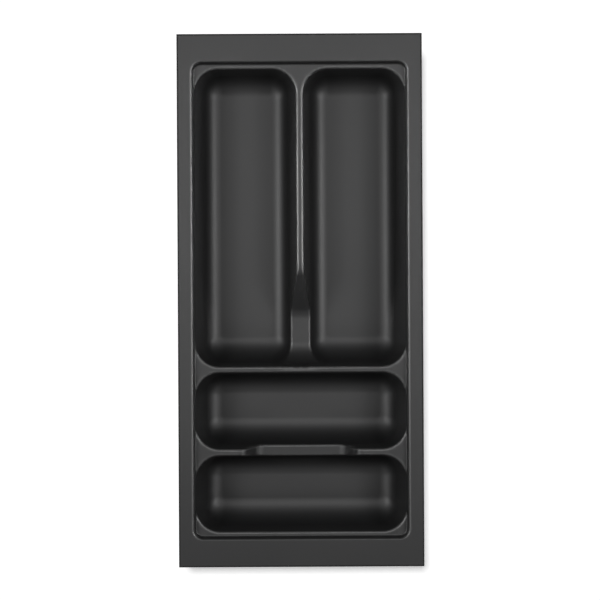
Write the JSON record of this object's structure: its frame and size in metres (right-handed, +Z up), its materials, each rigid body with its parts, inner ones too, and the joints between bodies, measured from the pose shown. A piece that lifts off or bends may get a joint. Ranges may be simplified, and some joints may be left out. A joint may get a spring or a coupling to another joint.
{
  "type": "cutlery drawer insert",
  "caption": "Formed plastic drawer insert that sorts cutlery into long and wide open compartments; the dividers dip for fingers and the flat rim is trimmed to the drawer.",
  "frame": {"origin": "middle of the underside, on the plane the compartment floors stand on", "axes": "+X to the right across the tray, +Y to the back of the drawer (the end with the long compartments), +Z up out of the compartments"},
  "size_m": [0.218, 0.474, 0.05],
  "materials": {
    "anthracite_sheet": "satin dark grey, fine moulded grain"
  },
  "bodies": {
    "root": {"cutlery_tray": "anthracite_sheet"}
  },
  "joints": []
}
